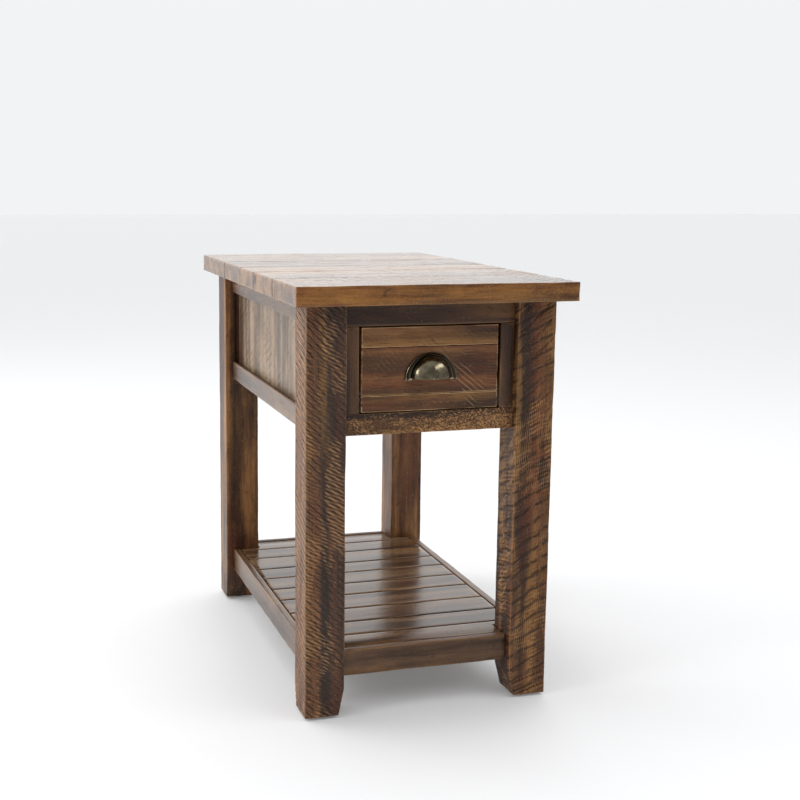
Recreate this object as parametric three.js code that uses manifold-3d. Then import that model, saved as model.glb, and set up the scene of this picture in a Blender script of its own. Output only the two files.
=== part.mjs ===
// Narrow side table of rough-sawn boards, with one drawer under the top and a slatted shelf.
// Millimetres, +Z up. The origin is on the floor at the middle of the table, and the drawer
// opens towards -Y. The legs, rails, panels and shelf are the fixed frame; the drawer runs on a
// pair of three-part slides.

import * as THREE from "three";
import { ConvexGeometry } from "three/addons/geometries/ConvexGeometry.js";
import { mergeVertices } from "three/addons/utils/BufferGeometryUtils.js";
import Module from "manifold-3d";

const wasm = await Module();
wasm.setup();

// ---------------------------------------------------------------- driving dimensions

const TABLE_WIDTH = 406;
const TABLE_DEPTH = 660;
const TABLE_HEIGHT = 610;

const TOP_THICKNESS = 28;
const TOP_SIDE_OVERHANG = 21;
const TOP_END_OVERHANG = 29;
const TOP_BOARD_PARTS = [27, 24, 19, 24, 38]; // widths in proportion, front to rear
const TOP_BOARD_SEAM = 0.4;
const BATTEN_WIDTH = 20;
const BATTEN_HEIGHT = 24;

const LEG_SIZE = 58;
const FOOT_TAPER_HEIGHT = 39;
const FOOT_TAPER_X = 8;
const FOOT_TAPER_Y = 7;
const GLIDE_RADIUS = 17;
const GLIDE_THICKNESS = 3;
const GLIDE_NAIL_RADIUS = 1.5;
const GLIDE_NAIL_LENGTH = 14;

const FRAME_SETBACK = 13; // every rail stands this far inside the legs' outer faces
const APRON_HEIGHT = 182;
const RAIL_THICKNESS = 24;
const TOP_RAIL_HEIGHT = 32;
const BOTTOM_RAIL_HEIGHT = 30;
const STILE_WIDTH = 20.5;
const TENON_LENGTH = 20;
const TENON_THICKNESS = 8;
const TENON_SHOULDER = 5;
const JOINT_CLEARANCE = 0.3;

const PANEL_SETBACK = 12; // from the rails' outer face to the planks' outer face
const PANEL_THICKNESS = 8;
const PANEL_GROOVE_DEPTH = 6;
const PANEL_GROOVE_REVEAL = 7; // open part of the groove in front of the planks
const PLANK_SEAM = 1.6;
const SIDE_PLANK_PARTS = [68, 75, 82, 80, 65, 44, 72]; // widths in proportion, front to rear
const REAR_PLANK_PARTS = [66, 54, 70, 58]; // from -X to +X

const SHELF_TOP = 94;
const SHELF_RAIL_HEIGHT = 38;
const SHELF_RAIL_THICKNESS = 20;
const SHELF_RAIL_REVEAL = 1.5; // shadow gap between a shelf rail's shoulder and the leg
const SHELF_LIP = 11;
const DECK_GAP = 2;
const SLAT_THICKNESS = 14;
const SLAT_GAP = 1.4;
const SLAT_LEG_GAP = 1.5;
const SLAT_DROP = 0.5; // the slats lie this far below the rails' top edge
const SLAT_PARTS = [49, 53, 58, 64, 55, 57, 52, 63, 52, 47]; // front to rear

const FRONT_SIDE_GAP = 3.5;
const FRONT_EDGE_GAP = 1.5;
const FRONT_THICKNESS = 20;
const BOX_THICKNESS = 12;
const BOX_BELOW_GAP = 12;
const BOX_ABOVE_GAP = 18;
const BOX_REAR_GAP = 82;
const BOX_BOTTOM_THICKNESS = 6;
const BOX_BOTTOM_RISE = 10;
const BOX_GROOVE_DEPTH = 6;
const DOVETAILS = 3;
const DOVETAIL_FLARE = 2;

const SLIDE_THICKNESS = 12.7;
const SLIDE_HEIGHT = 45;
const SLIDE_METAL = 1.2;
const SLIDE_BALL_GAP = 2.6;
const SLIDE_END_GAP = 2;
const SLIDE_BEARER_HEIGHT = 60;

const PULL_RADIUS = 38;
const PULL_FLANGE_THICKNESS = 3.5;
const PULL_DOME_HALF_WIDTH = 28;
const PULL_DOME_HEIGHT = 31;
const PULL_DOME_REACH = 23;
const PULL_WALL = 2;
const PULL_LIP_RISE = 3;
const PULL_SCREW_SPACING = 55;
const PULL_SCREW_RISE = 19;
const PULL_DROP = 15.5; // from the middle of the drawer's front down to the pull's base
const SCREW_RADIUS = 2;
const SCREW_HEAD_RADIUS = 4;
const SCREW_HEAD_HEIGHT = 2.5;
const SCREW_BITE = 2;

// ---------------------------------------------------------------- derived places

const topUnderside = TABLE_HEIGHT - TOP_THICKNESS;
const legOuterX = TABLE_WIDTH / 2 - TOP_SIDE_OVERHANG;
const legOuterY = TABLE_DEPTH / 2 - TOP_END_OVERHANG;
const legInnerX = legOuterX - LEG_SIZE;
const legInnerY = legOuterY - LEG_SIZE;

const railOuterX = legOuterX - FRAME_SETBACK;
const railOuterY = legOuterY - FRAME_SETBACK;
const railInnerX = railOuterX - RAIL_THICKNESS;
const railInnerY = railOuterY - RAIL_THICKNESS;
const apronBottom = topUnderside - APRON_HEIGHT;
const openingBottom = apronBottom + BOTTOM_RAIL_HEIGHT;
const openingTop = topUnderside - TOP_RAIL_HEIGHT;
const openingHalfWidth = legInnerX - STILE_WIDTH;

const deckTop = SHELF_TOP - SLAT_DROP;
const shelfRailBottom = SHELF_TOP - SHELF_RAIL_HEIGHT;
const ledgeTop = deckTop - SLAT_THICKNESS;
const deckHalfX = railOuterX - SHELF_LIP - DECK_GAP;
const deckHalfY = railOuterY - SHELF_LIP - DECK_GAP;

const frontBack = -railOuterY + FRONT_THICKNESS; // rear face of the drawer's front board
const boxHalfWidth = openingHalfWidth - SLIDE_THICKNESS - 2 * JOINT_CLEARANCE;
const boxBottom = openingBottom + BOX_BELOW_GAP;
const boxTop = openingTop - BOX_ABOVE_GAP;
const boxRear = railInnerY - BOX_REAR_GAP;
const boxMiddleZ = (boxBottom + boxTop) / 2;

const frontMiddleZ = (openingBottom + openingTop) / 2;
const pullBase = frontMiddleZ - PULL_DROP;
const pullScrewZ = pullBase + PULL_SCREW_RISE;
const pullScrewX = PULL_SCREW_SPACING / 2;

const SIDES = [["left", -1], ["right", 1]];
const ENDS = [["front", -1], ["rear", 1]];

// ---------------------------------------------------------------- finishes

function finish(color, roughness, metalness = 0) {
  return new THREE.MeshStandardMaterial({ color, roughness, metalness });
}

const topWood = () => finish(0x7a5533, 0.55);
const legWood = () => finish(0x6b4a32, 0.6);
const railWood = () => finish(0x5a4030, 0.6);
const panelWood = () => finish(0x75593f, 0.6);
const slatWood = () => finish(0x75604c, 0.5);
const frontWood = () => finish(0x75502f, 0.6);
const boxWood = () => finish(0xb08a5c, 0.65);
const hiddenWood = () => finish(0x8c6b47, 0.75);
const slideSteel = () => finish(0xb4b8bc, 0.35, 1);
const agedMetal = () => finish(0x4a4436, 0.38, 1);
const screwSteel = () => finish(0x9a9a96, 0.4, 1);
const glidePlastic = () => finish(0x2c2622, 0.7);

// ---------------------------------------------------------------- geometry helpers

// A box between two opposite corners, given in any order.
function block(cornerA, cornerB) {
  const size = cornerA.map((a, i) => Math.abs(cornerB[i] - a));
  const middle = cornerA.map((a, i) => (a + cornerB[i]) / 2);
  return new THREE.BoxGeometry(...size).translate(...middle);
}

// A three.js geometry as a manifold-3d solid.
function solid(geometry) {
  const bare = geometry.clone();
  bare.deleteAttribute("normal");
  bare.deleteAttribute("uv");
  const merged = mergeVertices(bare, 1e-4);
  const vertProperties = new Float32Array(merged.attributes.position.array);
  const triVerts = new Uint32Array(merged.index.array);
  return new wasm.Manifold(new wasm.Mesh({ numProp: 3, vertProperties, triVerts }));
}

// A manifold-3d solid as a three.js geometry.
function surface(body) {
  const mesh = body.getMesh();
  const geometry = new THREE.BufferGeometry();
  geometry.setAttribute("position", new THREE.BufferAttribute(mesh.vertProperties, 3));
  geometry.setIndex(new THREE.BufferAttribute(mesh.triVerts, 1));
  return geometry;
}

// A geometry less every tool in a list.
function cut(geometry, tools) {
  return surface(tools.reduce((body, tool) => body.subtract(solid(tool)), solid(geometry)));
}

// Several geometries joined into one.
function join(...geometries) {
  return surface(geometries.map(solid).reduce((a, b) => a.add(b)));
}

// An outline of [along, across] points, pushed up by height: along and across are directions.
function prism(points, height, along, across, origin) {
  const outline = new THREE.Shape(points.map(([a, b]) => new THREE.Vector2(a, b)));
  const up = new THREE.Vector3().crossVectors(along, across);
  const basis = new THREE.Matrix4().makeBasis(along, across, up).setPosition(...origin);
  return new THREE.ExtrudeGeometry(outline, { depth: height, bevelEnabled: false })
    .applyMatrix4(basis);
}

const X = new THREE.Vector3(1, 0, 0);
const Y = new THREE.Vector3(0, 1, 0);
const Z = new THREE.Vector3(0, 0, 1);

// Where a row of pieces starts and ends, when it fills a span in the given proportions.
function spread(parts, low, high) {
  const total = parts.reduce((sum, part) => sum + part, 0);
  let start = low;
  return parts.map((part) => {
    const end = start + ((high - low) * part) / total;
    const piece = [start, end];
    start = end;
    return piece;
  });
}

const table = new THREE.Group();

function add(name, geometry, material) {
  const mesh = new THREE.Mesh(geometry, material);
  mesh.name = name;
  table.add(mesh);
}

// ---------------------------------------------------------------- top

spread(TOP_BOARD_PARTS, -TABLE_DEPTH / 2, TABLE_DEPTH / 2).forEach(([start, end], i, all) => {
  const front = i === 0 ? start : start + TOP_BOARD_SEAM / 2;
  const rear = i === all.length - 1 ? end : end - TOP_BOARD_SEAM / 2;
  const board = block([-TABLE_WIDTH / 2, front, topUnderside], [TABLE_WIDTH / 2, rear, TABLE_HEIGHT]);
  add(`top_board_${i + 1}`, board, topWood());
});

// A batten along each side holds the boards together and ties them to the side rails.
for (const [side, sx] of SIDES) {
  const outer = sx * railInnerX;
  const batten = block(
    [outer, -legInnerY + JOINT_CLEARANCE, topUnderside - BATTEN_HEIGHT],
    [outer - sx * BATTEN_WIDTH, legInnerY - JOINT_CLEARANCE, topUnderside],
  );
  add(`top_batten_${side}`, batten, hiddenWood());
}

// ---------------------------------------------------------------- rails

// Each rail has a tenon at both ends, made as one bar that runs through it. The same bar, larger
// by the joint's clearance, cuts the mortises in the legs.
const mortiseBars = [];

function tenonBar(low, high, axis, clearance) {
  const across = 1 - axis;
  const middle = (low[across] + high[across]) / 2;
  const start = [...low];
  const end = [...high];
  start[axis] -= TENON_LENGTH + clearance;
  end[axis] += TENON_LENGTH + clearance;
  start[across] = middle - TENON_THICKNESS / 2 - clearance;
  end[across] = middle + TENON_THICKNESS / 2 + clearance;
  start[2] += TENON_SHOULDER - clearance;
  end[2] -= TENON_SHOULDER - clearance;
  return block(start, end);
}

// axis is 0 for a rail along X and 1 for one along Y. A reveal pulls the shoulders back from
// the legs, and the tenons still reach as far.
function addRail(name, low, high, axis, tools, material, reveal = 0) {
  const start = [...low];
  const end = [...high];
  start[axis] += reveal;
  end[axis] -= reveal;
  mortiseBars.push(tenonBar(low, high, axis, JOINT_CLEARANCE));
  add(name, cut(join(block(start, end), tenonBar(low, high, axis, 0)), tools), material);
}

// ---------------------------------------------------------------- planked panels

// A panel of upright planks, as one glued piece with an open vee at each seam.
function plankedPanel(parts, halfLength, along, out, origin, height) {
  const points = [[-halfLength, 0], [-halfLength, PANEL_THICKNESS]];
  const seams = spread(parts, -halfLength, halfLength).slice(1).map(([start]) => start);
  for (const seam of seams) {
    points.push([seam - PLANK_SEAM / 2, PANEL_THICKNESS]);
    points.push([seam, PANEL_THICKNESS - PLANK_SEAM]);
    points.push([seam + PLANK_SEAM / 2, PANEL_THICKNESS]);
  }
  points.push([halfLength, PANEL_THICKNESS], [halfLength, 0]);
  return prism(points, height, along, out, origin);
}

// The groove that a panel stands in, open in front of the planks.
const grooveOuter = PANEL_SETBACK - PANEL_GROOVE_REVEAL;
const grooveInner = PANEL_SETBACK + PANEL_THICKNESS + JOINT_CLEARANCE;
const grooveLow = openingBottom - PANEL_GROOVE_DEPTH;
const grooveHigh = openingTop + PANEL_GROOVE_DEPTH;
const panelLow = grooveLow + JOINT_CLEARANCE;
const panelHeight = grooveHigh - grooveLow - 2 * JOINT_CLEARANCE;
const grooves = {};

for (const [side, sx] of SIDES) {
  const reach = legInnerY + PANEL_GROOVE_DEPTH;
  grooves[side] = block(
    [sx * (railOuterX - grooveOuter), -reach, grooveLow],
    [sx * (railOuterX - grooveInner), reach, grooveHigh],
  );
  const along = Y.clone().multiplyScalar(-sx);
  const out = X.clone().multiplyScalar(sx);
  const parts = sx < 0 ? SIDE_PLANK_PARTS : [...SIDE_PLANK_PARTS].reverse();
  const face = sx * (railOuterX - PANEL_SETBACK - PANEL_THICKNESS);
  const halfLength = reach - JOINT_CLEARANCE;
  const panel = plankedPanel(parts, halfLength, along, out, [face, 0, panelLow], panelHeight);
  add(`side_panel_${side}`, panel, panelWood());
}

const rearReach = legInnerX + PANEL_GROOVE_DEPTH;
grooves.rear = block(
  [-rearReach, railOuterY - grooveOuter, grooveLow],
  [rearReach, railOuterY - grooveInner, grooveHigh],
);
const rearFace = railOuterY - PANEL_SETBACK - PANEL_THICKNESS;
const rearPanel = plankedPanel(
  REAR_PLANK_PARTS,
  rearReach - JOINT_CLEARANCE,
  X,
  Y,
  [0, rearFace, panelLow],
  panelHeight,
);
add("rear_panel", rearPanel, panelWood());

// ---------------------------------------------------------------- apron

const RAIL_LEVELS = [
  ["top", openingTop, topUnderside],
  ["bottom", apronBottom, openingBottom],
];

for (const [level, low, high] of RAIL_LEVELS) {
  for (const [end, sy] of ENDS) {
    const faces = [sy * railOuterY, sy * railInnerY].sort((a, b) => a - b);
    const tools = end === "rear" ? [grooves.rear] : [];
    addRail(
      `${end}_${level}_rail`,
      [-legInnerX, faces[0], low],
      [legInnerX, faces[1], high],
      0,
      tools,
      railWood(),
    );
  }
  for (const [side, sx] of SIDES) {
    const faces = [sx * railOuterX, sx * railInnerX].sort((a, b) => a - b);
    addRail(
      `${side}_${level}_rail`,
      [faces[0], -legInnerY, low],
      [faces[1], legInnerY, high],
      1,
      [grooves[side]],
      railWood(),
    );
  }
}

for (const [side, sx] of SIDES) {
  const stile = block(
    [sx * legInnerX, -railOuterY, openingBottom],
    [sx * openingHalfWidth, -railInnerY, openingTop],
  );
  add(`front_stile_${side}`, stile, railWood());
}

// ---------------------------------------------------------------- shelf

// A rebate inside the rails' top edge leaves a lip outside and a ledge that carries the slats.
const rebate = block(
  [-deckHalfX - DECK_GAP, -deckHalfY - DECK_GAP, ledgeTop],
  [deckHalfX + DECK_GAP, deckHalfY + DECK_GAP, SHELF_TOP + 1],
);

for (const [end, sy] of ENDS) {
  const inner = railOuterY - SHELF_RAIL_THICKNESS;
  const faces = [sy * railOuterY, sy * inner].sort((a, b) => a - b);
  addRail(
    `shelf_${end}_rail`,
    [-legInnerX, faces[0], shelfRailBottom],
    [legInnerX, faces[1], SHELF_TOP],
    0,
    [rebate],
    railWood(),
    SHELF_RAIL_REVEAL,
  );
}
for (const [side, sx] of SIDES) {
  const inner = railOuterX - SHELF_RAIL_THICKNESS;
  const faces = [sx * railOuterX, sx * inner].sort((a, b) => a - b);
  addRail(
    `shelf_${side}_rail`,
    [faces[0], -legInnerY, shelfRailBottom],
    [faces[1], legInnerY, SHELF_TOP],
    1,
    [rebate],
    railWood(),
    SHELF_RAIL_REVEAL,
  );
}

// The legs take the corners off the slats that reach them.
const cornerCuts = SIDES.flatMap(([, sx]) =>
  ENDS.map(([, sy]) =>
    block(
      [sx * (legInnerX - SLAT_LEG_GAP), sy * (legInnerY - SLAT_LEG_GAP), 0],
      [sx * legOuterX, sy * legOuterY, TABLE_HEIGHT],
    ),
  ),
);

spread(SLAT_PARTS, -deckHalfY - SLAT_GAP / 2, deckHalfY + SLAT_GAP / 2).forEach(([start, end], i) => {
  const slat = block(
    [-deckHalfX, start + SLAT_GAP / 2, ledgeTop],
    [deckHalfX, end - SLAT_GAP / 2, deckTop],
  );
  add(`shelf_slat_${i + 1}`, cut(slat, cornerCuts), slatWood());
});

// ---------------------------------------------------------------- legs

// A square leg whose two inner faces slope in over the last stretch above the floor, with the
// hole for the glide's nail in its foot.
for (const [end, sy] of ENDS) {
  for (const [side, sx] of SIDES) {
    const corners = [
      [topUnderside, 0, 0],
      [GLIDE_THICKNESS + FOOT_TAPER_HEIGHT, 0, 0],
      [GLIDE_THICKNESS, FOOT_TAPER_X, FOOT_TAPER_Y],
    ].flatMap(([z, taperX, taperY]) => {
      const insideX = sx * (legInnerX + taperX);
      const insideY = sy * (legInnerY + taperY);
      return [sx * legOuterX, insideX].flatMap((x) =>
        [sy * legOuterY, insideY].map((y) => new THREE.Vector3(x, y, z)),
      );
    });
    const footX = sx * (legOuterX + legInnerX + FOOT_TAPER_X) / 2;
    const footY = sy * (legOuterY + legInnerY + FOOT_TAPER_Y) / 2;
    const nailHole = new THREE.CylinderGeometry(
      GLIDE_NAIL_RADIUS + JOINT_CLEARANCE,
      GLIDE_NAIL_RADIUS + JOINT_CLEARANCE,
      2 * (GLIDE_NAIL_LENGTH + JOINT_CLEARANCE),
      12,
    );
    nailHole.rotateX(Math.PI / 2).translate(footX, footY, GLIDE_THICKNESS);
    const tools = [...mortiseBars, ...Object.values(grooves), nailHole];
    add(`leg_${end}_${side}`, cut(new ConvexGeometry(corners), tools), legWood());

    const glideProfile = [
      [0, 0],
      [GLIDE_RADIUS - 1, 0],
      [GLIDE_RADIUS, 1],
      [GLIDE_RADIUS, GLIDE_THICKNESS],
      [GLIDE_NAIL_RADIUS, GLIDE_THICKNESS],
      [GLIDE_NAIL_RADIUS, GLIDE_THICKNESS + GLIDE_NAIL_LENGTH - 2],
      [0, GLIDE_THICKNESS + GLIDE_NAIL_LENGTH],
    ].map(([r, z]) => new THREE.Vector2(r, z));
    const glide = new THREE.LatheGeometry(glideProfile, 28);
    glide.rotateX(Math.PI / 2).translate(footX, footY, 0);
    add(`glide_${end}_${side}`, glide, glidePlastic());
  }
}

// ---------------------------------------------------------------- drawer

// The outline of a box side, with its dovetails at both ends. Grown tails cut their sockets.
function boxSideOutline(grow) {
  const pitch = (boxTop - boxBottom) / DOVETAILS;
  const tails = (shoulder, tip) =>
    Array.from({ length: DOVETAILS }, (_, i) => {
      const z = boxBottom + (i + 0.5) * pitch;
      const root = pitch / 4 + grow;
      const wide = root + DOVETAIL_FLARE;
      return [[shoulder, z - root], [tip, z - wide], [tip, z + wide], [shoulder, z + root]];
    }).flat();
  const front = frontBack + BOX_THICKNESS;
  const rear = boxRear - BOX_THICKNESS;
  return [
    [front, boxBottom],
    [rear, boxBottom],
    ...tails(rear, boxRear + grow),
    [rear, boxTop],
    [front, boxTop],
    ...tails(front, frontBack - grow).reverse(),
  ];
}

function boxSide(sx, grow) {
  const inner = sx * (boxHalfWidth - BOX_THICKNESS - grow);
  const outer = sx * (boxHalfWidth + grow);
  const thickness = Math.abs(outer - inner);
  return prism(boxSideOutline(grow), thickness, Y, Z, [Math.min(inner, outer), 0, 0]);
}

const boxInnerX = boxHalfWidth - BOX_THICKNESS;
const boxFloor = boxBottom + BOX_BOTTOM_RISE;
const bottomReach = BOX_GROOVE_DEPTH - JOINT_CLEARANCE;
const boxFrontInner = frontBack + BOX_THICKNESS;
const boxRearInner = boxRear - BOX_THICKNESS;
const bottomGroove = block(
  [-boxInnerX - BOX_GROOVE_DEPTH, boxFrontInner - BOX_GROOVE_DEPTH, boxFloor - JOINT_CLEARANCE],
  [
    boxInnerX + BOX_GROOVE_DEPTH,
    boxRearInner + BOX_GROOVE_DEPTH,
    boxFloor + BOX_BOTTOM_THICKNESS + JOINT_CLEARANCE,
  ],
);
const pullHoles = SIDES.map(([, sx]) => {
  const radius = SCREW_RADIUS + JOINT_CLEARANCE;
  const length = 4 * (FRONT_THICKNESS + BOX_THICKNESS);
  return new THREE.CylinderGeometry(radius, radius, length, 16)
    .translate(sx * pullScrewX, frontBack, pullScrewZ);
});

const frontBoard = block(
  [-openingHalfWidth + FRONT_SIDE_GAP, -railOuterY, openingBottom + FRONT_EDGE_GAP],
  [openingHalfWidth - FRONT_SIDE_GAP, frontBack, openingTop - FRONT_EDGE_GAP],
);
add("drawer_front", cut(frontBoard, pullHoles), frontWood());

const socketTools = SIDES.map(([, sx]) => boxSide(sx, JOINT_CLEARANCE / 2));
const boxEnds = [
  ["front", frontBack, boxFrontInner, pullHoles],
  ["rear", boxRearInner, boxRear, []],
];
for (const [end, near, far, holes] of boxEnds) {
  const board = block([-boxHalfWidth, near, boxBottom], [boxHalfWidth, far, boxTop]);
  add(`drawer_box_${end}`, cut(board, [...socketTools, bottomGroove, ...holes]), boxWood());
}
for (const [side, sx] of SIDES) {
  add(`drawer_side_${side}`, cut(boxSide(sx, 0), [bottomGroove]), boxWood());
}
const drawerBottom = block(
  [-boxInnerX - bottomReach, boxFrontInner - bottomReach, boxFloor],
  [boxInnerX + bottomReach, boxRearInner + bottomReach, boxFloor + BOX_BOTTOM_THICKNESS],
);
add("drawer_bottom", drawerBottom, boxWood());

// ---------------------------------------------------------------- slides

// A steel channel that runs along Y. Its web is at one side and its flanges reach to the other.
function channel(sx, webX, flangeX, halfHeight, front, length) {
  const inside = webX + Math.sign(flangeX - webX) * SLIDE_METAL;
  const lip = halfHeight - SLIDE_METAL;
  const points = [
    [webX, -halfHeight],
    [flangeX, -halfHeight],
    [flangeX, -lip],
    [inside, -lip],
    [inside, lip],
    [flangeX, lip],
    [flangeX, halfHeight],
    [webX, halfHeight],
  ].map(([x, z]) => [-sx * x, z]);
  return prism(points, length, X.clone().negate(), Z, [0, front, boxMiddleZ]);
}

const slideFront = frontBack + SLIDE_END_GAP;
const slideLength = boxRear - slideFront;
const slideWall = openingHalfWidth - JOINT_CLEARANCE;
const slideBox = slideWall - SLIDE_THICKNESS;
const outerHalf = SLIDE_HEIGHT / 2;
const middleHalf = outerHalf - SLIDE_METAL - SLIDE_BALL_GAP;
const innerHalf = middleHalf - SLIDE_METAL - SLIDE_BALL_GAP;
const webStep = 2 * SLIDE_METAL;

for (const [side, sx] of SIDES) {
  const bearer = block(
    [sx * openingHalfWidth, -railInnerY, boxMiddleZ - SLIDE_BEARER_HEIGHT / 2],
    [sx * legInnerX, railInnerY, boxMiddleZ + SLIDE_BEARER_HEIGHT / 2],
  );
  add(`slide_bearer_${side}`, bearer, hiddenWood());
  const members = [
    ["outer", slideWall, slideBox + webStep, outerHalf],
    ["middle", slideWall - webStep, slideBox + 1.5 * SLIDE_METAL, middleHalf],
    ["inner", slideBox, slideWall - 2 * webStep, innerHalf],
  ];
  for (const [member, webX, flangeX, halfHeight] of members) {
    const rail = channel(sx, webX, flangeX, halfHeight, slideFront, slideLength);
    add(`slide_${member}_${side}`, rail, slideSteel());
  }
}

// ---------------------------------------------------------------- cup pull

function ellipsoid(halfWidth, reach, height) {
  return new THREE.SphereGeometry(1, 40, 24)
    .scale(halfWidth, reach, height)
    .translate(0, -railOuterY, pullBase + PULL_LIP_RISE);
}

function cupPull() {
  const shell = cut(
    ellipsoid(PULL_DOME_HALF_WIDTH, PULL_DOME_REACH, PULL_DOME_HEIGHT),
    [
      ellipsoid(
        PULL_DOME_HALF_WIDTH - PULL_WALL,
        PULL_DOME_REACH - PULL_WALL,
        PULL_DOME_HEIGHT - PULL_WALL,
      ),
      block([-PULL_RADIUS, -railOuterY, 0], [PULL_RADIUS, 0, TABLE_HEIGHT]),
      block(
        [-PULL_RADIUS, -TABLE_DEPTH, 0],
        [PULL_RADIUS, TABLE_DEPTH, pullBase + PULL_LIP_RISE],
      ),
    ],
  );
  const outline = new THREE.Shape();
  outline.absarc(0, 0, PULL_RADIUS, 0, Math.PI, false);
  outline.lineTo(-PULL_DOME_HALF_WIDTH + PULL_WALL / 2, 0);
  outline.absellipse(
    0,
    0,
    PULL_DOME_HALF_WIDTH - PULL_WALL / 2,
    PULL_DOME_HEIGHT + PULL_LIP_RISE - PULL_WALL / 2,
    Math.PI,
    0,
    true,
  );
  const flange = new THREE.ExtrudeGeometry(outline, {
    depth: PULL_FLANGE_THICKNESS,
    curveSegments: 28,
    bevelEnabled: false,
  });
  flange.rotateX(Math.PI / 2).translate(0, -railOuterY, pullBase);
  const screwHoles = SIDES.map(([, sx]) => {
    const radius = SCREW_RADIUS + JOINT_CLEARANCE;
    const depth = SCREW_BITE + JOINT_CLEARANCE;
    return new THREE.CylinderGeometry(radius, radius, 2 * depth, 16)
      .translate(sx * pullScrewX, -railOuterY, pullScrewZ);
  });
  return cut(join(shell, flange), screwHoles);
}

add("cup_pull", cupPull(), agedMetal());

for (const [side, sx] of SIDES) {
  const shankTip = -railOuterY - SCREW_BITE;
  const headSeat = boxFrontInner + JOINT_CLEARANCE;
  const profile = [
    [0, shankTip],
    [SCREW_RADIUS, shankTip],
    [SCREW_RADIUS, headSeat],
    [SCREW_HEAD_RADIUS, headSeat],
    [SCREW_HEAD_RADIUS, headSeat + SCREW_HEAD_HEIGHT / 2],
    [SCREW_HEAD_RADIUS / 2, headSeat + SCREW_HEAD_HEIGHT],
    [0, headSeat + SCREW_HEAD_HEIGHT],
  ].map(([r, y]) => new THREE.Vector2(r, y));
  const screw = new THREE.LatheGeometry(profile, 16).translate(sx * pullScrewX, 0, pullScrewZ);
  add(`pull_screw_${side}`, screw, screwSteel());
}

export default table;
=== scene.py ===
"""Looks for a narrow side table of rough-sawn boards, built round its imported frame. Metres, +Z up."""

import math
from contextlib import contextmanager

import bmesh
import bpy
from mathutils import Matrix, Vector, noise


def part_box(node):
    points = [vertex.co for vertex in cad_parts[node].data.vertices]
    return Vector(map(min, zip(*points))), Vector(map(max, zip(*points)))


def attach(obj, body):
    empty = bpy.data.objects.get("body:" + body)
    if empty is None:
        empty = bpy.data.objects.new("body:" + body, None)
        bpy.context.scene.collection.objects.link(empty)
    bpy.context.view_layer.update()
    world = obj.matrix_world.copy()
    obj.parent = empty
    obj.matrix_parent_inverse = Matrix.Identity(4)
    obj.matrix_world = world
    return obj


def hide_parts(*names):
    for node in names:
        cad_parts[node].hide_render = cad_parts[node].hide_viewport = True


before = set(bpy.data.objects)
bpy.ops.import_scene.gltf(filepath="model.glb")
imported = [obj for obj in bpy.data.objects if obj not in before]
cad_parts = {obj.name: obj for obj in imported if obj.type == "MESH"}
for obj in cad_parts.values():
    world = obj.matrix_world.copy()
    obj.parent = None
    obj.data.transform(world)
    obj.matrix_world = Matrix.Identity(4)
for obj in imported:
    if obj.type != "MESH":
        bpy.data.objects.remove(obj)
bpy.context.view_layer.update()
X, Y, Z = 0, 1, 2
NEAR = 0.0004  # what counts as the same place

# ---------------------------------------------------------------- working on a mesh


def show(piece):
    """Makes one piece the only selected and active one."""
    bpy.ops.object.select_all(action="DESELECT")
    piece.select_set(True)
    bpy.context.view_layer.objects.active = piece


@contextmanager
def editing(piece):
    show(piece)
    bpy.ops.object.mode_set(mode="EDIT")
    yield
    bpy.ops.object.mode_set(mode="OBJECT")


def pick(piece, kind, wanted):
    """Selects the verts, edges or faces that pass a test, and nothing else."""
    bpy.ops.mesh.select_mode(type={"verts": "VERT", "edges": "EDGE", "faces": "FACE"}[kind])
    bpy.ops.mesh.select_all(action="DESELECT")
    mesh = bmesh.from_edit_mesh(piece.data)
    mesh.normal_update()
    count = 0
    for element in getattr(mesh, kind):
        if wanted(element):
            element.select_set(True)
            count += 1
    mesh.select_flush_mode()
    bmesh.update_edit_mesh(piece.data)
    return count


def unit(axis, length=1.0):
    return tuple(length if i == axis else 0.0 for i in range(3))


def slice_at(axis, value):
    """Cuts the whole mesh across an axis and leaves both halves joined."""
    bpy.ops.mesh.select_all(action="SELECT")
    bpy.ops.mesh.bisect(plane_co=unit(axis, value), plane_no=unit(axis))


def push_faces(piece, wanted, move):
    """Extrudes the faces that pass a test and moves them."""
    if pick(piece, "faces", wanted):
        bpy.ops.mesh.extrude_region_move(TRANSFORM_OT_translate={"value": move})


def move_verts(piece, wanted, move):
    pick(piece, "verts", wanted)
    bpy.ops.transform.translate(value=move)


def facing(face, axis, sign):
    return face.normal[axis] * sign > 0.9


def ease(piece, width, rounds=2):
    """Rounds every outer corner line."""
    sharp = math.radians(30)
    pick(piece, "edges", lambda e: e.is_manifold and e.is_convex and e.calc_face_angle() > sharp)
    bpy.ops.mesh.bevel(offset=width, segments=rounds, affect="EDGES")


def divide(piece, axis, step, stops):
    """Cuts the edges along an axis into short parts, stretch by stretch between the stops."""
    for low, high in zip(stops, stops[1:]):
        cuts = round((high - low) / step) - 1
        if cuts < 1:
            continue

        def crosses(edge):
            a, b = (vert.co for vert in edge.verts)
            run = abs(a[axis] - b[axis])
            inside = min(a[axis], b[axis]) > low - NEAR and max(a[axis], b[axis]) < high + NEAR
            return inside and run > 0.6 * (high - low) and run > 0.6 * (a - b).length

        if pick(piece, "edges", crosses):
            bpy.ops.mesh.subdivide(number_cuts=cuts, ngon=False)


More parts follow.
